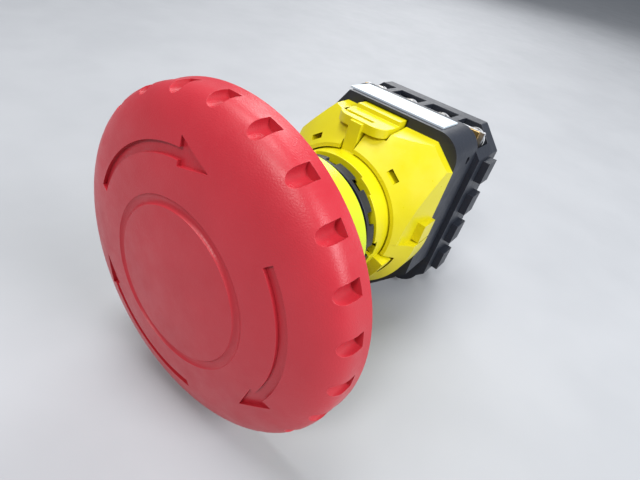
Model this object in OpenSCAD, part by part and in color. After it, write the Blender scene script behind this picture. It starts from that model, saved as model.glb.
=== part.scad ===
// Emergency stop button for a 22 mm panel hole, push to lock and turn to reset.
// The push axis is Y: the head is on the -Y side and the contact unit on the +Y side.
// The panel's front face lies against the gasket at Y = 0. Z is up and X is to the operator's right.

/* [Head] */
// radius of the mushroom head at its back edge
head_r = 30; // [29:0.5:31]
// distance from the panel to the highest point of the head
head_front = 33; // [32.4:0.1:33.6]
// how deep the arrows are sunk into the head
arrow_depth = 0.7; // [0.4:0.1:1]
// angle of the first arrow's tip, clockwise from the top
arrow_tip_deg = 10; // [0:1:20]
// radius of each grip notch
notch_r = 1.3; // [1.2:0.1:1.8]

/* [Collar] */
// radius of the yellow collar at the panel
bezel_r = 15.8; // [15.5:0.1:16.5]

/* [Neck] */
// outer radius of the threaded neck
neck_r = 11; // [10.9:0.05:11.05]
// length between two turns of the thread
thread_pitch = 1.5; // [1.25:0.25:1.5]

/* [Contact unit] */
// half the width of the contact unit's body
block_half_w = 18.4; // [18:0.1:18.8]
// half the height of the contact unit's body
block_half_h = 23; // [22.8:0.1:23.4]
// distance from the panel to the back of the contact unit
block_back = 48.7; // [48.5:0.1:50]
// distance between neighbouring terminals
terminal_pitch = 9.4; // [9.2:0.1:9.5]

/* [Hidden] */
$fn = 96;
eps = 0.02;
slack = 0.3;
far = 60;

// head shell
head_sag = 8.7;
edge_r = head_r - 0.25;
skirt_back = -23;
head_wall = 3.4;
cavity_front = -head_front + 5;
hub_r = 8.5;
hub_back = -8;
stem_r = 4.9;
stem_front = -29.2;
stem_back = 11.5;
notch_count = 24;
notch_centre_r = 29.5;
notch_floor = -24.66;
groove_r = 13.9;
groove_tool_r = 0.9;
groove_depth = 0.5;
arrow_r = 21.3;
arrow_half_w = 0.85;
arrow_sweep = 82;
arrow_head_deg = 16;
arrow_barb_in = 19.6;
arrow_barb_out = 23.8;
arrow_neck_overlap = 2;
dome_power = 0.26;
dome_round = 1.6;
profile_steps = 30;

// collar and seal
bezel_front_r = 14.8;
bezel_front = -14.2;
bezel_back = -0.3;
bezel_bore = 12.3;
bezel_lip = 0.7;
bezel_lip_bore = 9.3;
seal_front = -13.4;
seal_back = -11.7;
seal_bore = 8.55;

// neck
sleeve_front = -11.6;
sleeve_back = 19;
sleeve_head_r = 12.2;
sleeve_bore = 9.3;
sleeve_lip_front = 17.6;
sleeve_lip_bore = 6.2;
neck_start = -0.9;
thread_start = 0.8;
thread_turns = 8;
thread_depth = 0.6;
key_w = 2.4;
key_r = 10;
key_slot_back = 14.5;
latch_groove_y = 7;
latch_groove_half = 1.5;
latch_groove_r = 10.1;
bayonet_slot_w = 2.4;
bayonet_slot_front = 13.6;
bayonet_slot_floor = 10.2;

gasket_front = -0.9;
gasket_r = 15;
gasket_bore = 11.15;
washer_front = 2.05;
washer_back = 2.55;
washer_r = 13.4;
nut_front = 2.6;
nut_back = 5.2;
nut_r = 13.9;
nut_bore = neck_r + 0.08;
nut_notches = 12;
nut_notch_w = 2.6;
nut_notch_d = 1.1;
keyway_deg = 135;
keyway_w = 2.2;
keyway_r = 10.1;
keyway_start = -0.15;
tab_w = 1.8;
tab_r = 10.4;

// slider and latch
slider_front = -7.6;
slider_back = 9;
slider_r = 8.9;
slider_bore = 5;
slider_pocket_r = 7.3;
slider_pocket_back = -1;
key_half = 1;
key_top = 9.7;
pin_y = 3;
pin_r = 1.1;
pin_in = 6.5;
pin_out = 8.7;
pin_bore = 1.15;
clip_front = 9.3;
clip_back = 10.1;
clip_r = 6.8;
clip_bore = 4.3;
clip_groove = 4.25;
clip_gap_w = 3;

// contact unit shell
shell_front = 10.6;
shell_ridge = 14;
shell_ridge_r = 19;
shell_front_r = 15.4;
shell_back = 22.2;
shell_half_w = 18.5;
shell_top = 20.8;
shell_front_half_w = 16.4;
shell_front_top = 19.2;
shell_chamfer_x = 13;
shell_chamfer_z = 16.2;
lower_r = 19.4;
lower_front = 15.4;
lug_half_w = 19.4;
lug_low = 0.4;
lug_high = 4.8;
ring_pocket_back = 18.2;
neck_hole = neck_r + 0.35;
face_slot_r = 16.9;
face_slot_deg = 37;
face_slot_w = 1.1;
face_slot_l = 3;
face_slot_back = 15.5;
foot_notch_deg = 127;
foot_notch_w = 1.8;
foot_notch_depth = 1.2;
stud_r = 0.9;
stud_y = 19.4;
stud_l = 2;

// bayonet ring and its lever
ring_front = 5.7;
ring_back = 15;
ring_r = 14.2;
ring_bore = 12.2;
ring_step = 1.2;
ring_pocket_r = 14.55;
tongue_left = -2.8;
tongue_right = 0.2;
tongue_front = 11.2;
tongue_back = 13.4;
lever_low = 19;
lever_top = 21;
lever_left = -7.2;
lever_right = 4.8;
lever_front = 12;
lever_corner = 3;
tail_start = 19.2;
tail_end = 23.1;
tail_left = -6.5;
tail_right = 4.6;
tail_low = 19.6;
tail_top = 22;
lever_slot_x = -2.6;
lever_slot_l = 7;
lever_slot_w = 1.3;
lever_slot_y = 14.6;
lever_slot_depth = 1;
ring_travel = 2.2;
ear_from = 104;
ear_to = 150;
ear_r = 17;
ear_front = 8.6;
ear_back = 12.6;

// base
base_front = shell_back;
base_back = 44;
base_corner = 6;
base_wide_start = 34.5;
base_wide_half = 19.8;
rib_t = 1.8;
recess_front = 36;
recess_floor = 15.2;
chamber_half_w = 17.2;
chamber_half_h = 12.6;
chamber_front = 24.2;
pocket_gap = 0.35;
grip_count = 4;
grip_pitch = 9;
grip_h = 5.4;
grip_out = 1.8;
grip_front = 38.5;
flank_hole_r = 0.9;
flank_hole_y = 30;
flank_hole_z = 17.4;
strip_half_w = 12.3;
strip_front = 24;
strip_back = 32.2;
strip_t = 0.45;

// contacts and terminals
way_count = 4;
strip_y = 37.6;
strip_thick = 0.8;
strip_w = 4.6;
terminal_z = 18.7;
inner_z = 5.4;
strip_end_z = 22;
fixed_y = 28.4;
tip_r = 1.3;
tip_t = 0.7;
bridge_t = 0.8;
bridge_w = 3.4;
bridge_half = 7.4;
screw_head_r = 2.9;
screw_head_t = 2.2;
screw_shank_r = 1.6;
screw_clear = 1.8;
screw_tip = 34.8;
clamp_half = 3.1;
clamp_t = 0.9;
clamp_y = 39.6;
driver_hole_r = 2.7;
driver_slot_w = 0.8;
driver_slot_depth = 1.1;
cover_half_w = 19.8;
cover_half_h = 22.4;
cover_chamfer = 5.3;
key_corner_x = 11.2;
key_corner_z = 11.5;
foot_corner_x = 8;
foot_corner_z = 12;

// cross-head
plunger_front = 11.8;
plunger_rod_r = 3.4;
cross_front = 25.2;
cross_back = 35.2;
cross_half_h = 2.6;
cross_half_w = 16.8;
window_front = 26.2;
window_back = 34;
window_half_w = 2;

// which node to draw

// local z runs along the push axis, starting y0 behind the panel plane
module along_y(y0 = 0) {
    translate([0, y0, 0]) rotate([-90, 0, 0]) children();
}

// turned clockwise about the push axis, as the operator sees it
module clockwise(deg) {
    rotate([0, deg, 0]) children();
}

module rod(r, from, to) {
    along_y(from) cylinder(r = r, h = to - from);
}

module tube(r_out, r_in, from, to) {
    difference() {
        rod(r_out, from, to);
        rod(r_in, from - 1, to + 1);
    }
}

module block(x0, x1, y0, y1, z0, z1) {
    translate([x0, y0, z0]) cube([x1 - x0, y1 - y0, z1 - z0]);
}

// level cut through a coil's wire: a crescent that a twist turns into round wire
function crescent(mean_r, wire_r, half_deg, n) = concat(
    [for (i = [-n : n - 1]) let (r = mean_r + wire_r * sqrt(1 - pow(i / n, 2)), a = half_deg * i / n)
        [r * cos(a), r * sin(a)]],
    [for (i = [n : -1 : 1 - n]) let (r = mean_r - wire_r * sqrt(1 - pow(i / n, 2)), a = half_deg * i / n)
        [r * cos(a), r * sin(a)]]);

// coil of round wire along local z, from 0 to length
module helix(mean_r, wire_r, length, turns, steps, n) {
    pitch = length / turns;
    linear_extrude(height = length, twist = -360 * turns, slices = turns * steps, $fn = 4)
        polygon(crescent(mean_r, wire_r, 360 * wire_r / pitch, n));
}

// coil along the push axis
module coil(mean_r, wire_r, from, to, turns, steps = 14, n = 4) {
    along_y(from) helix(mean_r, wire_r, to - from, turns, steps, n);
}

// rectangle in the XZ plane with round corners, from y0 to y1
module rounded_slab(half_w, half_h, r, y0, y1) {
    block(-half_w + r, half_w - r, y0, y1, -half_h, half_h);
    block(-half_w, half_w, y0, y1, -half_h + r, half_h - r);
    for (sx = [-1, 1], sz = [-1, 1])
        translate([sx * (half_w - r), 0, sz * (half_h - r)]) rod(r, y0, y1);
}

// both rows of terminals: the upper as drawn, the lower mirrored
module both_rows() {
    children();
    mirror([0, 0, 1]) children();
}

module each_way() {
    for (i = [0 : way_count - 1])
        translate([(i - (way_count - 1) / 2) * terminal_pitch, 0, 0]) children();
}

// the head's outer face: distance behind the apex at radius r, as a superellipse
function sag(r) = head_sag * (1 - pow(1 - pow(min(r / edge_r, 1), dome_round), dome_power));
function face_y(r) = -head_front + sag(r);
function polar(r, deg) = [r * sin(deg), -r * cos(deg)];
function rim_radius(i) = edge_r * sin(90 * i / profile_steps);

module head_solid() {
    along_y()
        rotate_extrude()
            polygon(concat(
                [for (i = [0 : profile_steps]) [rim_radius(i), face_y(rim_radius(i))]],
                [[head_r, skirt_back], [head_r - 1.6, skirt_back],
                 [head_r - head_wall, skirt_back - 1.4], [head_r - head_wall - 1.6, cavity_front + 2.4],
                 [head_r - head_wall - 5.4, cavity_front], [hub_r + 2, cavity_front],
                 [hub_r, cavity_front + 2], [hub_r, hub_back], [0, hub_back]]));
}

module arrow_outline(tip) {
    tail = tip - arrow_sweep;
    neck = tip - arrow_head_deg + arrow_neck_overlap;
    intersection() {
        difference() {
            circle(r = arrow_r + arrow_half_w);
            circle(r = arrow_r - arrow_half_w);
        }
        polygon([[0, 0], polar(far, tail), polar(far, (tail + neck) / 2), polar(far, neck)]);
    }
    polygon([polar(arrow_r, tip), polar(arrow_barb_out, tip - arrow_head_deg),
             polar(arrow_barb_in, tip - arrow_head_deg)]);
}

module arrows() {
    intersection() {
        along_y()
            rotate_extrude()
                polygon(concat([for (r = [18 : 26]) [r, face_y(r) + arrow_depth]],
                    [[26, -far], [18, -far]]));
        for (k = [0 : 2])
            along_y(-far) linear_extrude(height = far) arrow_outline(arrow_tip_deg + 120 * k);
    }
}

module button_head() {
    color([0.72, 0.06, 0.09])
        difference() {
            head_solid();
            rod(stem_r + 0.05, stem_front, hub_back + 1);
            arrows();
            for (k = [0 : notch_count - 1])
                clockwise(k * 360 / notch_count)
                    translate([0, 0, notch_centre_r]) rod(notch_r, -far, notch_floor);
            along_y(face_y(groove_r) + groove_depth - groove_tool_r)
                rotate_extrude() translate([groove_r, 0]) circle(r = groove_tool_r, $fn = 48);
        }
}

module head_stem() {
    color([0.2, 0.2, 0.22])
        difference() {
            rod(stem_r, stem_front + 0.05, stem_back);
            tube(stem_r + 1, clip_groove, clip_front - 0.05, clip_back + 0.05);
        }
}

module stem_clip() {
    color([0.7, 0.7, 0.72])
        difference() {
            tube(clip_r, clip_bore, clip_front, clip_back);
            block(-clip_gap_w / 2, clip_gap_w / 2, clip_front - 1, clip_back + 1, 0, clip_r + 1);
        }
}

module latch_slider() {
    color([0.85, 0.84, 0.8])
        difference() {
            union() {
                rod(slider_r, slider_front, slider_back);
                block(-key_half, key_half, slider_front, slider_back, -key_top, key_top);
            }
            rod(slider_bore, slider_front - 1, slider_back + 1);
            rod(slider_pocket_r, slider_front - 1, slider_pocket_back);
            translate([0, pin_y, 0]) rotate([0, 90, 0]) cylinder(r = pin_bore, h = 3 * slider_r, center = true);
        }
}

module latch_pins() {
    color([0.75, 0.75, 0.77])
        for (side = [-1, 1])
            translate([side * (pin_in + pin_out) / 2, pin_y, 0])
                rotate([0, 90, 0]) cylinder(r = pin_r, h = pin_out - pin_in, center = true);
}

module latch_springs() {
    color([0.7, 0.7, 0.72])
        for (side = [0, 180])
            translate([0, pin_y, 0]) rotate([0, 0, side]) rotate([0, 90, 0])
                translate([0, 0, slider_bore + 0.3])
                    helix(0.7, 0.15, pin_in - slider_bore - 0.5, 2, 10, 3);
}

module turn_spring() {
    color([0.7, 0.7, 0.72]) coil(6.15, 0.45, slider_front + 0.3, slider_pocket_back - 0.1, 5);
}

module push_spring() {
    color([0.7, 0.7, 0.72]) coil(7.9, 0.5, slider_back + 0.1, sleeve_lip_front - 0.1, 3);
}

module bezel() {
    color([0.85, 0.9, 0.1])
        difference() {
            along_y()
                rotate_extrude()
                    polygon([[0, bezel_front], [bezel_front_r - 0.8, bezel_front],
                             [bezel_front_r, bezel_front + 0.8], [bezel_r, bezel_back - 0.6],
                             [bezel_r - 0.4, bezel_back], [0, bezel_back]]);
            rod(bezel_bore, bezel_front + bezel_lip, 1);
            rod(bezel_lip_bore, bezel_front - 1, 0);
            rod(gasket_r + 0.05, gasket_front - 0.05, 1);
        }
}

module operator_sleeve() {
    color([0.06, 0.07, 0.09])
        difference() {
            union() {
                rod(sleeve_head_r, sleeve_front, neck_start - 0.1);
                rod(neck_r, sleeve_front + 1, sleeve_back);
            }
            rod(sleeve_bore, sleeve_front - 1, sleeve_lip_front);
            rod(sleeve_lip_bore, 0, sleeve_back + 1);
            for (k = [0 : thread_turns - 1])
                tube(neck_r + 1, neck_r - thread_depth, thread_start + k * thread_pitch,
                    thread_start + (k + 0.5) * thread_pitch);
            tube(latch_groove_r, sleeve_bore - 1, latch_groove_y - latch_groove_half,
                latch_groove_y + latch_groove_half);
            block(-key_w / 2, key_w / 2, sleeve_front - 1, key_slot_back, -key_r, key_r);
            clockwise(keyway_deg)
                block(-keyway_w / 2, keyway_w / 2, keyway_start, sleeve_back + 1, keyway_r, far);
            for (side = [0, 180])
                rotate([0, side, 0])
                    block(bayonet_slot_floor, far, bayonet_slot_front, sleeve_back + 1,
                        -bayonet_slot_w / 2, bayonet_slot_w / 2);
        }
}

module wiper_seal() {
    color([0.05, 0.05, 0.06])
        difference() {
            tube(bezel_bore - 0.05, seal_bore, seal_front, seal_back);
            along_y((seal_front + seal_back) / 2)
                rotate_extrude() translate([seal_bore, 0]) circle(r = 0.45, $fn = 24);
        }
}

module panel_gasket() {
    color([0.05, 0.05, 0.06]) tube(gasket_r, gasket_bore, gasket_front, 0);
}

module thrust_washer() {
    color([0.1, 0.11, 0.13])
        difference() {
            rod(washer_r, washer_front, washer_back);
            difference() {
                rod(nut_bore, washer_front - 1, washer_back + 1);
                clockwise(keyway_deg)
                    block(-tab_w / 2, tab_w / 2, washer_front - 2, washer_back + 2, tab_r, far);
            }
        }
}

module locking_ring() {
    color([0.07, 0.08, 0.1])
        difference() {
            tube(nut_r, nut_bore, nut_front, nut_back);
            for (k = [0 : nut_notches - 1])
                clockwise(k * 360 / nut_notches)
                    block(-nut_notch_w / 2, nut_notch_w / 2, nut_front + 0.9, nut_back + 1,
                        nut_r - nut_notch_d, nut_r + 1);
        }
}

// wedge of a ring between two clockwise angles less than 180 degrees apart
module ring_sector(r_in, r_out, y0, y1, from, to) {
    mid = (from + to) / 2;
    intersection() {
        tube(r_out, r_in, y0, y1);
        along_y(y0 - 1)
            linear_extrude(height = y1 - y0 + 2)
                polygon([[0, 0], polar(far, from), polar(far, mid), polar(far, to)]);
    }
}

module lever_plan() {
    block(lever_left + lever_corner, lever_right - lever_corner, lever_front, tail_start + 0.5,
        lever_low, lever_top);
    block(lever_left, lever_right, lever_front + lever_corner, tail_start + 0.5, lever_low, lever_top);
    for (x = [lever_left + lever_corner, lever_right - lever_corner])
        translate([x, lever_front + lever_corner, lever_low])
            cylinder(r = lever_corner, h = lever_top - lever_low);
}

module bayonet_ring() {
    color([0.9, 0.85, 0.02])
        difference() {
            union() {
                tube(ring_r, ring_bore, ring_front, ring_back);
                block(tongue_left, tongue_right, tongue_front, tongue_back, ring_bore + 0.6, lever_top - 0.4);
                lever_plan();
                block(tail_left, tail_right, tail_start, tail_end, tail_low, tail_top);
                for (side = [0, 1])
                    mirror([side, 0, 0])
                        ring_sector(ring_bore + 0.5, ear_r, ear_front, ear_back, ear_from, ear_to);
            }
            ring_sector(ring_bore - 1, ring_r + 1, ring_front - 1, ring_front + ring_step, -26, 26);
            ring_sector(ring_bore - 1, ring_r + 1, ring_front - 1, ring_front + ring_step / 2, 25, 42);
            for (side = [0, 1])
                mirror([side, 0, 0])
                    ring_sector(ring_bore - 1, ring_r + 1, ring_front - 1, ring_front + ring_step, 84, 98);
            translate([lever_slot_x, lever_slot_y, lever_top - lever_slot_depth / 2])
                cube([lever_slot_l, lever_slot_w, lever_slot_depth + eps], center = true);
        }
}

module bayonet_springs() {
    color([0.7, 0.7, 0.72])
        for (side = [-1, 1])
            translate([side * (ring_bore + ring_r) / 2, 0, 0])
                coil(0.65, 0.18, ring_back + 0.1, ring_pocket_back - 0.1, 4, 10, 3);
}

// tapered body above the axis, octagonal at the back
module upper_shell() {
    intersection() {
        along_y(shell_front)
            linear_extrude(height = shell_back - shell_front)
                polygon([[-shell_half_w, 0], [-shell_half_w, -key_corner_z + 1], [-key_corner_x + 0.4, -shell_top],
                         [shell_chamfer_x, -shell_top], [shell_half_w, -shell_chamfer_z], [shell_half_w, 0]]);
        translate([0, 0, -1])
            linear_extrude(height = shell_top + 2)
                polygon([[-shell_front_half_w, shell_front], [shell_front_half_w, shell_front],
                         [shell_half_w, shell_back], [-shell_half_w, shell_back]]);
        translate([-far / 2, 0, 0]) rotate([90, 0, 90])
            linear_extrude(height = far)
                polygon([[shell_front, 0], [shell_front, shell_front_top],
                         [shell_back, shell_top], [shell_back, 0]]);
        along_y()
            rotate_extrude()
                polygon([[0, shell_front], [shell_front_r, shell_front], [shell_ridge_r, shell_ridge],
                         [shell_ridge_r + 8, shell_back], [0, shell_back]]);
    }
}

module lower_shell() {
    intersection() {
        along_y()
            rotate_extrude()
                polygon([[0, shell_front], [shell_front_r, shell_front], [lower_r - 1.4, shell_ridge],
                         [lower_r, lower_front], [lower_r, shell_back], [0, shell_back]]);
        block(-far, far, shell_front, shell_back, -far, eps);
    }
}

module housing_cuts() {
    rod(neck_hole, shell_front - 1, shell_back + 1);
    rod(ring_pocket_r, shell_front - 1, ring_pocket_back);
    block(tongue_left - slack, tongue_right + slack, shell_front - 1,
        tongue_back + ring_travel + slack, 0, far);
    block(lever_left - slack, lever_right + slack, shell_front - 1, shell_back + 1,
        lever_low - slack, far);
    for (side = [-1, 1]) {
        clockwise(side * face_slot_deg)
            block(-face_slot_l / 2, face_slot_l / 2, 0, face_slot_back,
                face_slot_r - face_slot_w / 2, face_slot_r + face_slot_w / 2);
        clockwise(side * foot_notch_deg)
            block(-foot_notch_w / 2, foot_notch_w / 2, lower_front + 2, shell_back + 1,
                lower_r - foot_notch_depth, far);
    }
    for (side = [0, 1])
        mirror([side, 0, 0])
            ring_sector(ring_pocket_r - 1, ear_r + slack, shell_front - 1,
                ear_back + ring_travel + slack, ear_from - 1.5, ear_to + 1.5);
}

module front_housing() {
    color([0.92, 0.88, 0.02])
        union() {
            difference() {
                union() {
                    upper_shell();
                    lower_shell();
                    block(-lug_half_w, lug_half_w, lower_front + 1.5, shell_back, lug_low, lug_high);
                }
                housing_cuts();
            }
            for (side = [-1, 1])
                translate([side * (neck_hole + stud_l / 2 - 0.4), stud_y, 0])
                    rotate([0, 90, 0]) cylinder(r = stud_r, h = stud_l, center = true);
        }
}

module terminal_recess() {
    block(-(terminal_pitch - rib_t) / 2, (terminal_pitch - rib_t) / 2, recess_front, base_back + 1,
        recess_floor, far);
}

module contact_base() {
    color([0.06, 0.07, 0.1])
        difference() {
            union() {
                rounded_slab(block_half_w, block_half_h, base_corner, base_front, base_wide_start + 1);
                octagon_slab(base_wide_half, cover_half_h, cover_chamfer, base_wide_start, base_back);
                for (i = [0 : grip_count - 1])
                    translate([0, 0, (i - (grip_count - 1) / 2) * grip_pitch])
                        block(-base_wide_half - grip_out, base_wide_half + grip_out, grip_front,
                            base_back, -grip_h / 2, grip_h / 2);
            }
            along_y(base_front - 1)
                linear_extrude(height = base_wide_start - base_front + 1)
                    polygon([[-key_corner_x, -block_half_h], [-far, -block_half_h], [-far, -key_corner_z],
                             [-block_half_w, -key_corner_z]]);
            for (side = [-1, 1])
                along_y(base_front - 1)
                    linear_extrude(height = base_wide_start - base_front + 1)
                        polygon([[side * foot_corner_x, block_half_h + 1], [side * far, block_half_h + 1],
                                 [side * far, foot_corner_z], [side * block_half_w, foot_corner_z]]);
            block(-chamber_half_w, chamber_half_w, chamber_front, base_back + 1,
                -chamber_half_h, chamber_half_h);
            rod(plunger_rod_r + 0.4, base_front - 1, chamber_front + 1);
            block(tail_left - pocket_gap, tail_right + pocket_gap, base_front - 1,
                tail_end + ring_travel + pocket_gap, tail_low - pocket_gap, tail_top + pocket_gap);
            both_rows() each_way() {
                terminal_recess();
                translate([0, 0, terminal_z]) rod(screw_clear + 0.1, screw_tip - 0.6, recess_front + 1);
                block(-strip_w / 2 - 0.1, strip_w / 2 + 0.1, strip_y - 0.1, base_back + 1,
                    chamber_half_h - 1, recess_floor + 1);
            }
            for (side = [0, 1])
                mirror([side, 0, 0])
                    translate([chamber_half_w - 0.4, flank_hole_y, flank_hole_z]) rotate([0, 90, 0])
                        cylinder(r = flank_hole_r, h = 4);
        }
}

module marking_strip() {
    color([0.8, 0.9, 0.95])
        block(-strip_half_w, strip_half_w, strip_front, strip_back, block_half_h, block_half_h + strip_t);
}

// octagon in the XZ plane with 45 degree corners
module octagon_slab(half_w, half_h, cut, y0, y1) {
    along_y(y0)
        linear_extrude(height = y1 - y0)
            polygon([for (k = [0 : 3]) each corner_pair(k, half_w, half_h, cut)]);
}

function corner_pair(k, w, h, c) =
    k == 0 ? [[w, h - c], [w - c, h]] :
    k == 1 ? [[c - w, h], [-w, h - c]] :
    k == 2 ? [[-w, c - h], [c - w, -h]] :
    [[w - c, -h], [w, c - h]];

module rear_cover() {
    color([0.07, 0.08, 0.1])
        difference() {
            octagon_slab(cover_half_w, cover_half_h, cover_chamfer, base_back, block_back);
            both_rows() each_way()
                translate([0, 0, terminal_z]) rod(driver_hole_r, base_back - 1, block_back + 1);
            block(-cover_half_w + 5, cover_half_w - 5, block_back - 0.6, block_back + 1, -8, 8);
        }
}

module contact_plunger() {
    color([0.86, 0.86, 0.84])
        difference() {
            union() {
                rod(plunger_rod_r, plunger_front, cross_front + 1);
                block(-cross_half_w, cross_half_w, cross_front, cross_back, -cross_half_h, cross_half_h);
            }
            each_way()
                block(-window_half_w, window_half_w, window_front, window_back, -far, far);
        }
}

module plunger_spring() {
    color([0.7, 0.7, 0.72]) coil(2.3, 0.35, cross_back + 0.1, base_back - 0.1, 5);
}

module contact_bridges() {
    color([0.8, 0.55, 0.25])
        each_way()
            block(-bridge_w / 2, bridge_w / 2, fixed_y + 2 * tip_t + slack, fixed_y + 2 * tip_t + slack + bridge_t,
                -bridge_half, bridge_half);
}

module bridge_tips() {
    color([0.85, 0.85, 0.86])
        each_way() both_rows()
            translate([0, 0, inner_z]) rod(tip_r, fixed_y + tip_t + slack, fixed_y + 2 * tip_t + slack);
}

module bridge_springs() {
    color([0.7, 0.7, 0.72])
        each_way()
            coil(1.2, 0.22, fixed_y + 2 * tip_t + slack + bridge_t + 0.05, window_back - 0.05, 3, 10, 3);
}

module terminal_strips() {
    color([0.8, 0.6, 0.3])
        both_rows() each_way() union() {
            difference() {
                block(-strip_w / 2, strip_w / 2, strip_y, strip_y + strip_thick, inner_z + 3, strip_end_z);
                translate([0, 0, terminal_z]) rod(screw_shank_r + 0.05, strip_y - 1, strip_y + 3);
            }
            block(-strip_w / 2, strip_w / 2, fixed_y - strip_thick, strip_y + strip_thick,
                inner_z + 3, inner_z + 3 + strip_thick);
            block(-strip_w / 2, strip_w / 2, fixed_y - strip_thick, fixed_y, inner_z - 2, inner_z + 3 + strip_thick);
        }
}

module fixed_tips() {
    color([0.85, 0.85, 0.86])
        each_way() both_rows()
            translate([0, 0, inner_z]) rod(tip_r, fixed_y, fixed_y + tip_t);
}

module terminal_clamps() {
    color([0.7, 0.7, 0.7])
        both_rows() each_way()
            difference() {
                block(-clamp_half, clamp_half, clamp_y, clamp_y + clamp_t,
                    terminal_z - clamp_half, terminal_z + clamp_half);
                translate([0, 0, terminal_z]) rod(screw_clear, clamp_y - 1, clamp_y + 2);
            }
}

module terminal_screws() {
    head_front_y = clamp_y + clamp_t + 0.05;
    color([0.75, 0.75, 0.77])
        both_rows() each_way()
            translate([0, 0, terminal_z])
                difference() {
                    union() {
                        rod(screw_shank_r, screw_tip, head_front_y + 1);
                        rod(screw_head_r, head_front_y, head_front_y + screw_head_t);
                    }
                    block(-driver_slot_w / 2, driver_slot_w / 2, head_front_y + screw_head_t - driver_slot_depth,
                        head_front_y + screw_head_t + 1, -1.9, 1.9);
                    block(-1.9, 1.9, head_front_y + screw_head_t - driver_slot_depth,
                        head_front_y + screw_head_t + 1, -driver_slot_w / 2, driver_slot_w / 2);
                }
}

button_head();
head_stem();
stem_clip();
latch_slider();
latch_pins();
latch_springs();
turn_spring();
push_spring();
bezel();
operator_sleeve();
wiper_seal();
panel_gasket();
thrust_washer();
locking_ring();
bayonet_ring();
bayonet_springs();
front_housing();
contact_base();
marking_strip();
rear_cover();
contact_plunger();
plunger_spring();
contact_bridges();
bridge_tips();
bridge_springs();
terminal_strips();
fixed_tips();
terminal_clamps();
terminal_screws();
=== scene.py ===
import math

import bpy
from mathutils import Matrix, Vector


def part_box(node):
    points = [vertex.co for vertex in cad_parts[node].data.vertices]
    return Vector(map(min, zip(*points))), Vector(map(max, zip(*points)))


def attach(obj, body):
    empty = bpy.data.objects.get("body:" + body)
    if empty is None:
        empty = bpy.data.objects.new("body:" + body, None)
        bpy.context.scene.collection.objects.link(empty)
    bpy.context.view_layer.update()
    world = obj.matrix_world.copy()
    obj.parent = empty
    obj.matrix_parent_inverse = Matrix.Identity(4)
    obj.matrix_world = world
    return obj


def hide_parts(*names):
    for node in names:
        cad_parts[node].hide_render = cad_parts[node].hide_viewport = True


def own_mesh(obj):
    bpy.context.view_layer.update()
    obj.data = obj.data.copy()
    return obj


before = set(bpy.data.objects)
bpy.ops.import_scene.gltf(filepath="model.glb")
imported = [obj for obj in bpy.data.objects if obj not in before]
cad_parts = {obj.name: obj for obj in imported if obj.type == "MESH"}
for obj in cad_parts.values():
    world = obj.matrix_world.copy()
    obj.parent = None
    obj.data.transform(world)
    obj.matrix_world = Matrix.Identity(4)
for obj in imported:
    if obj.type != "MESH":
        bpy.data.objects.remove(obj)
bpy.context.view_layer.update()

MM = 0.001

# ---------------------------------------------------------------- edges and shading

MERGE_DISTANCE = 0.002 * MM
SHARP_ANGLE = math.radians(26)
BEVEL_ANGLE = math.radians(32)

# width of the soft edge on each node, in millimetres; a node that isn't named keeps its edges
EDGE_WIDTH = {
    "button_head": 0.28,
    "front_housing": 0.3,
    "contact_base": 0.25,
    "rear_cover": 0.3,
    "bezel": 0.3,
    "bayonet_ring": 0.25,
    "locking_ring": 0.15,
    "marking_strip": 0.08,
    "head_stem": 0.12,
    "operator_sleeve": 0.12,
    "latch_slider": 0.12,
    "contact_plunger": 0.15,
    "terminal_clamps": 0.1,
    "terminal_screws": 0.1,
    "terminal_strips": 0.08,
    "panel_gasket": 0.12,
}
ROUNDEST = ("button_head", "bezel")


def clean_shading():
    """Joins the imported corners and shades smooth across every edge flatter than SHARP_ANGLE."""
    tree = bpy.data.node_groups.new("clean_shading", "GeometryNodeTree")
    for way in ("INPUT", "OUTPUT"):
        tree.interface.new_socket("Geometry", in_out=way, socket_type="NodeSocketGeometry")
    add, link = tree.nodes.new, tree.links.new
    start, end = add("NodeGroupInput"), add("NodeGroupOutput")
    merge = add("GeometryNodeMergeByDistance")
    merge.inputs["Distance"].default_value = MERGE_DISTANCE
    angle = add("GeometryNodeInputMeshEdgeAngle")
    sharp = add("FunctionNodeCompare")
    sharp.data_type = "FLOAT"
    sharp.operation = "GREATER_THAN"
    sharp.inputs[1].default_value = SHARP_ANGLE
    normal = add("GeometryNodeSetMeshNormal")
    normal.mode = "SHARPNESS"
    normal.inputs["Remove Custom"].default_value = True
    link(start.outputs[0], merge.inputs["Geometry"])
    link(merge.outputs[0], normal.inputs["Mesh"])
    link(angle.outputs["Unsigned Angle"], sharp.inputs[0])
    link(sharp.outputs[0], normal.inputs["Edge Sharpness"])
    link(normal.outputs[0], end.inputs[0])
    return tree


CLEAN = clean_shading()


def shade(piece):
    piece.modifiers.new("clean", "NODES").node_group = CLEAN


def soften(piece, width):
    bevel = piece.modifiers.new("soft_edges", "BEVEL")
    bevel.width = width * MM
    bevel.segments = 3 if piece.name in ROUNDEST else 2
    bevel.limit_method = "ANGLE"
    bevel.angle_limit = BEVEL_ANGLE
    bevel.use_clamp_overlap = True
    bevel.harden_normals = True
    bevel.miter_outer = "MITER_ARC"


# ---------------------------------------------------------------- materials

COLOR_A, COLOR_B, COLOR_OUT = 6, 7, 2   # the Mix node's colour sockets


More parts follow.
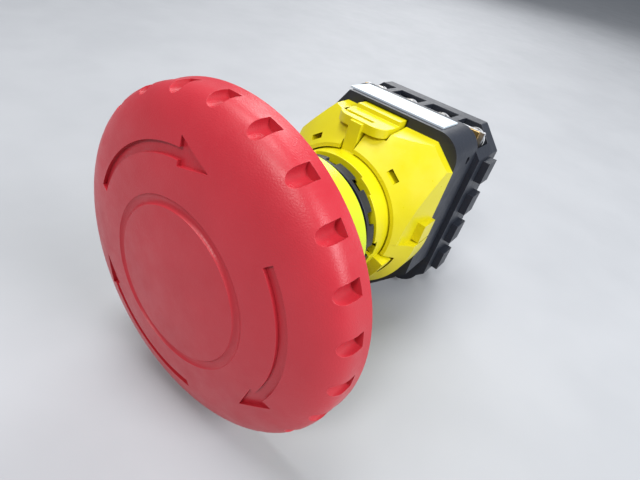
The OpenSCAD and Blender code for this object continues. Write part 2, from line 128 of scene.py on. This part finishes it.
class Shader:
    """A small builder around one Principled material, in the object's own coordinates."""

    def __init__(self, name):
        self.mat = bpy.data.materials.new(name)
        self.mat.use_nodes = True
        self.tree = self.mat.node_tree
        self.bsdf = self.tree.nodes["Principled BSDF"]
        self.coord = self.tree.nodes.new("ShaderNodeTexCoord")

    def set(self, socket, value):
        self.bsdf.inputs[socket].default_value = value

    def feed(self, output, socket):
        self.link(output, self.bsdf.inputs[socket])

    def link(self, a, b):
        self.tree.links.new(a, b)

    def place(self, stretch):
        node = self.tree.nodes.new("ShaderNodeMapping")
        node.inputs["Scale"].default_value = stretch
        self.link(self.coord.outputs["Object"], node.inputs["Vector"])
        return node.outputs["Vector"]

    def noise(self, size_mm, detail=3, rough=0.55, stretch=(1, 1, 1)):
        node = self.tree.nodes.new("ShaderNodeTexNoise")
        node.inputs["Scale"].default_value = 1 / (size_mm * MM)
        node.inputs["Detail"].default_value = detail
        node.inputs["Roughness"].default_value = rough
        self.link(self.place(stretch), node.inputs["Vector"])
        return node.outputs["Fac"]

    def spread(self, value, low, high, start=0.35, stop=0.65):
        """Maps the middle of a noise, from start to stop, onto low to high."""
        node = self.tree.nodes.new("ShaderNodeMapRange")
        node.inputs["From Min"].default_value = start
        node.inputs["From Max"].default_value = stop
        node.inputs["To Min"].default_value = low
        node.inputs["To Max"].default_value = high
        self.link(value, node.inputs["Value"])
        return node.outputs["Result"]

    def mix(self, factor, a, b):
        node = self.tree.nodes.new("ShaderNodeMix")
        node.data_type = "RGBA"
        self.link(factor, node.inputs["Factor"])
        for index, value in ((COLOR_A, a), (COLOR_B, b)):
            if isinstance(value, tuple):
                node.inputs[index].default_value = (*value, 1)
            else:
                self.link(value, node.inputs[index])
        return node.outputs[COLOR_OUT]

    def times(self, a, b):
        node = self.tree.nodes.new("ShaderNodeMath")
        node.operation = "MULTIPLY"
        self.link(a, node.inputs[0])
        self.link(b, node.inputs[1])
        return node.outputs[0]

    def bump(self, height, depth_mm, after=None):
        node = self.tree.nodes.new("ShaderNodeBump")
        node.inputs["Distance"].default_value = depth_mm * MM
        node.inputs["Strength"].default_value = 1
        self.link(height, node.inputs["Height"])
        if after:
            self.link(after, node.inputs["Normal"])
        return node.outputs["Normal"]


def moulded(name, color, deep, pale, rough, grain, scuffs):
    """Moulded plastic: eroded grain, slight flow mottling, rubbed patches and hairline scuffs.
    grain is the size and the depth of the grain, in millimetres."""
    grain_size, grain_depth = grain
    s = Shader(name)
    flow = s.spread(s.noise(9, 3, 0.5, (1, 0.5, 1)), 0, 0.5)
    body = s.mix(flow, color, deep)
    hair = s.spread(s.noise(1.1, 4, 0.7, (1, 0.12, 2.4)), 0, 1, 0.60, 0.74)
    patch = s.spread(s.noise(14, 2, 0.5), 0, scuffs, 0.45, 0.7)
    s.feed(s.mix(s.times(hair, patch), body, pale), "Base Color")
    s.feed(s.spread(s.noise(3.2, 5, 0.65), *rough, 0.3, 0.7), "Roughness")
    s.set("Specular IOR Level", 0.5)
    fine = s.bump(s.noise(grain_size, 2, 0.6), grain_depth)
    s.feed(s.bump(s.noise(6, 2, 0.5), 0.02, fine), "Normal")
    return s.mat


def black(name, color, rough, grain=(0.3, 0.008), scuffs=0.16):
    deep = tuple(0.72 * c for c in color)
    return moulded(name, color, deep, (0.16, 0.17, 0.19), rough, grain, scuffs)


def rubber(name, color, dusty):
    s = Shader(name)
    dust = s.spread(s.noise(2.5, 4, 0.6), 0, 0.35, 0.45, 0.7)
    s.feed(s.mix(dust, color, dusty), "Base Color")
    s.feed(s.spread(s.noise(1.5), 0.62, 0.85), "Roughness")
    s.set("Specular IOR Level", 0.35)
    s.feed(s.bump(s.noise(0.4, 3, 0.6), 0.012), "Normal")
    return s.mat


def metal(name, color, dull, rough=(0.25, 0.45), drawn=(1, 0.06, 1), line_mm=0.25):
    """Metal with fine lines along the way it was drawn or rolled, and dull patches."""
    s = Shader(name)
    tarnish = s.spread(s.noise(2.2, 4, 0.6), 0, 0.55, 0.42, 0.68)
    s.feed(s.mix(tarnish, color, dull), "Base Color")
    s.set("Metallic", 1.0)
    s.feed(s.spread(s.noise(1.2, 4, 0.6), *rough), "Roughness")
    s.feed(s.bump(s.noise(line_mm, 3, 0.6, drawn), 0.004), "Normal")
    return s.mat


def label(name, color, deep):
    """Coated card: faint fibres and a soft gloss."""
    s = Shader(name)
    fibre = s.spread(s.noise(0.5, 4, 0.7, (0.25, 1, 1)), 0, 0.3)
    s.feed(s.mix(fibre, color, deep), "Base Color")
    s.feed(s.spread(s.noise(2), 0.32, 0.48), "Roughness")
    s.feed(s.bump(s.noise(0.3, 3, 0.6), 0.004), "Normal")
    return s.mat


RED = ((0.50, 0.022, 0.036), (0.44, 0.016, 0.028), (0.72, 0.16, 0.18))
NATURAL = ((0.74, 0.73, 0.68), (0.66, 0.64, 0.57), (0.85, 0.85, 0.82))
BRIGHT_YELLOW = ((0.60, 0.74, 0.016), (0.56, 0.67, 0.010), (0.9, 0.88, 0.3))
YELLOW = ((0.68, 0.60, 0.004), (0.63, 0.53, 0.002), (0.92, 0.86, 0.28))
LEVER_YELLOW = ((0.70, 0.62, 0.004), (0.65, 0.55, 0.002), (0.92, 0.86, 0.28))
COARSE = (0.32, 0.012)
EVEN = (1, 1, 1)

# one material for each of the record's slots
MATERIALS = {
    "head_red": moulded("satin_red_head", *RED, (0.33, 0.47), (0.24, 0.036), 0.10),
    "stem_black": black("satin_black_stem", (0.020, 0.021, 0.026), (0.35, 0.5)),
    "natural_plastic": moulded("natural_acetal", *NATURAL, (0.3, 0.45), (0.4, 0.006), 0.12),
    "spring_steel": metal("drawn_spring_wire", (0.60, 0.60, 0.62), (0.42, 0.41, 0.40), (0.18, 0.35)),
    "plated_steel": metal("zinc_plated_steel", (0.66, 0.67, 0.70), (0.50, 0.50, 0.50)),
    "screw_steel": metal("nickel_plated_screw", (0.62, 0.60, 0.56), (0.42, 0.40, 0.36), (0.2, 0.4),
                         EVEN, 0.4),
    "collar_yellow": moulded("bright_yellow_collar", *BRIGHT_YELLOW, (0.28, 0.42), (0.35, 0.006), 0.12),
    "housing_yellow": moulded("yellow_housing", *YELLOW, (0.27, 0.44), (0.35, 0.008), 0.16),
    "lever_yellow": moulded("yellow_lever", *LEVER_YELLOW, (0.27, 0.42), (0.35, 0.007), 0.2),
    "neck_black": black("black_neck", (0.018, 0.019, 0.024), (0.34, 0.5)),
    "washer_black": black("black_washer", (0.022, 0.022, 0.026), (0.4, 0.55)),
    "ring_black": black("black_ring_nut", (0.014, 0.017, 0.028), (0.35, 0.52)),
    "base_black": black("black_contact_block", (0.014, 0.018, 0.029), (0.38, 0.56), COARSE, 0.22),
    "cover_black": black("black_rear_cover", (0.019, 0.023, 0.034), (0.38, 0.56), COARSE, 0.22),
    "strip_pale": label("pale_label_card", (0.62, 0.70, 0.76), (0.54, 0.62, 0.69)),
    "seal_rubber": rubber("seal_rubber_black", (0.022, 0.022, 0.024), (0.06, 0.06, 0.06)),
    "gasket_rubber": rubber("gasket_rubber_black", (0.026, 0.026, 0.028), (0.07, 0.07, 0.07)),
    "brass": metal("rolled_brass", (0.72, 0.48, 0.17), (0.48, 0.30, 0.11), (0.26, 0.46)),
    "silver": metal("silver_contact", (0.82, 0.80, 0.76), (0.55, 0.52, 0.48), (0.25, 0.45), EVEN),
}

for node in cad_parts.values():
    for held in node.material_slots:
        held.material = MATERIALS[held.material.name.split(".")[0]]
    shade(node)
    if node.name in EDGE_WIDTH:
        soften(node, EDGE_WIDTH[node.name])


# ---------------------------------------------------------------- springs


def working_spring(node):
    """A copy of the coil, attached to the unit body in place of the imported spring."""
    coil = bpy.data.objects.new(node + "_coil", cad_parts[node].data.copy())
    bpy.context.scene.collection.objects.link(coil)
    shade(coil)
    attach(coil, "unit")
    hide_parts(node)
    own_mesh(coil)


working_spring("push_spring")
working_spring("plunger_spring")
working_spring("bayonet_springs")


# ---------------------------------------------------------------- floor

RIM_BACK = -23 * MM        # where the head's rim touches the floor, along the push axis
FLOOR_GAP = 0.1 * MM
FLOOR_HALF = 2.0


def floor_material():
    s = Shader("pale_floor")
    cloud = s.spread(s.noise(40, 3), 0, 1)
    s.feed(s.mix(cloud, (0.40, 0.41, 0.43), (0.375, 0.385, 0.405)), "Base Color")
    s.feed(s.spread(s.noise(12), 0.62, 0.75), "Roughness")
    s.feed(s.bump(s.noise(1.2), 0.01), "Normal")
    return s.mat


def plain_floor():
    """The button lies on the rim of its head and the rear lower edge of its block, so the floor is
    tilted under them in the part's frame."""
    cover_low, cover_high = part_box("rear_cover")
    front = Vector((0, RIM_BACK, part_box("button_head")[0][2]))
    rear = Vector((0, cover_high[1], cover_low[2]))
    along = (rear - front).normalized() * FLOOR_HALF
    across = Vector((FLOOR_HALF, 0, 0))
    centre = front - across.cross(along).normalized() * FLOOR_GAP
    corners = [centre + along * a + across * b for a, b in ((-1, -1), (-1, 1), (1, 1), (1, -1))]
    mesh = bpy.data.meshes.new("floor")
    mesh.from_pydata(corners, [], [(0, 1, 2, 3)])
    mesh.materials.append(floor_material())
    floor = bpy.data.objects.new("floor", mesh)
    bpy.context.scene.collection.objects.link(floor)


plain_floor()


# ---------------------------------------------------------------- light

WARM, WHITE, COOL = (1.0, 0.98, 0.95), (1, 1, 1), (0.96, 0.98, 1.0)
CENTRE = (0, 0, 0)

# name, place, target, diameter, watts, colour
SOFTBOXES = (
    ("key_softbox", (0.03, -0.44, 0.40), (0, -0.02, 0), 0.15, 1.5, WARM),
    ("top_softbox", (-0.14, -0.06, 0.62), CENTRE, 0.30, 2.6, WHITE),
    ("side_softbox", (0.50, 0.02, 0.34), CENTRE, 0.30, 3.0, COOL),
    ("back_softbox", (-0.25, 0.5, 0.42), (0, 0.02, 0), 0.40, 2.2, WHITE),
)


def softbox(name, place, target, diameter, watts, color):
    data = bpy.data.lights.new(name, "AREA")
    data.shape = "DISK"
    data.size = diameter
    data.energy = watts
    data.color = color
    lamp = bpy.data.objects.new(name, data)
    lamp.location = place
    lamp.rotation_euler = (Vector(target) - Vector(place)).to_track_quat("-Z", "Y").to_euler()
    bpy.context.scene.collection.objects.link(lamp)


for row in SOFTBOXES:
    softbox(*row)

world = bpy.data.worlds.new("studio")
world.use_nodes = True
sky = world.node_tree.nodes["Background"]
sky.inputs["Color"].default_value = (0.80, 0.85, 0.93, 1)
sky.inputs["Strength"].default_value = 0.34
bpy.context.scene.world = world
bpy.context.scene.view_settings.view_transform = "Standard"


# ---------------------------------------------------------------- camera

CAMERA_PLACE = Vector((0.04017, -0.06490, 0.04740))
CAMERA_LOOK = Vector((-0.4000, 0.7340, -0.5488))
CAMERA_RIGHT = Vector((0.7644, 0.5976, 0.2421))   # tilts the picture to the left by about 17 degrees
LENS = 24.0
SENSOR = 36.0
NEAR_CLIP = 0.005


def photo_camera():
    data = bpy.data.cameras.new("camera")
    data.lens = LENS
    data.sensor_width = SENSOR
    data.clip_start = NEAR_CLIP
    camera = bpy.data.objects.new("camera", data)
    right, back = CAMERA_RIGHT.normalized(), -CAMERA_LOOK.normalized()
    turn = Matrix((right, back.cross(right), back)).transposed().to_4x4()
    camera.matrix_world = Matrix.Translation(CAMERA_PLACE) @ turn
    bpy.context.scene.collection.objects.link(camera)
    return camera


bpy.context.scene.camera = photo_camera()
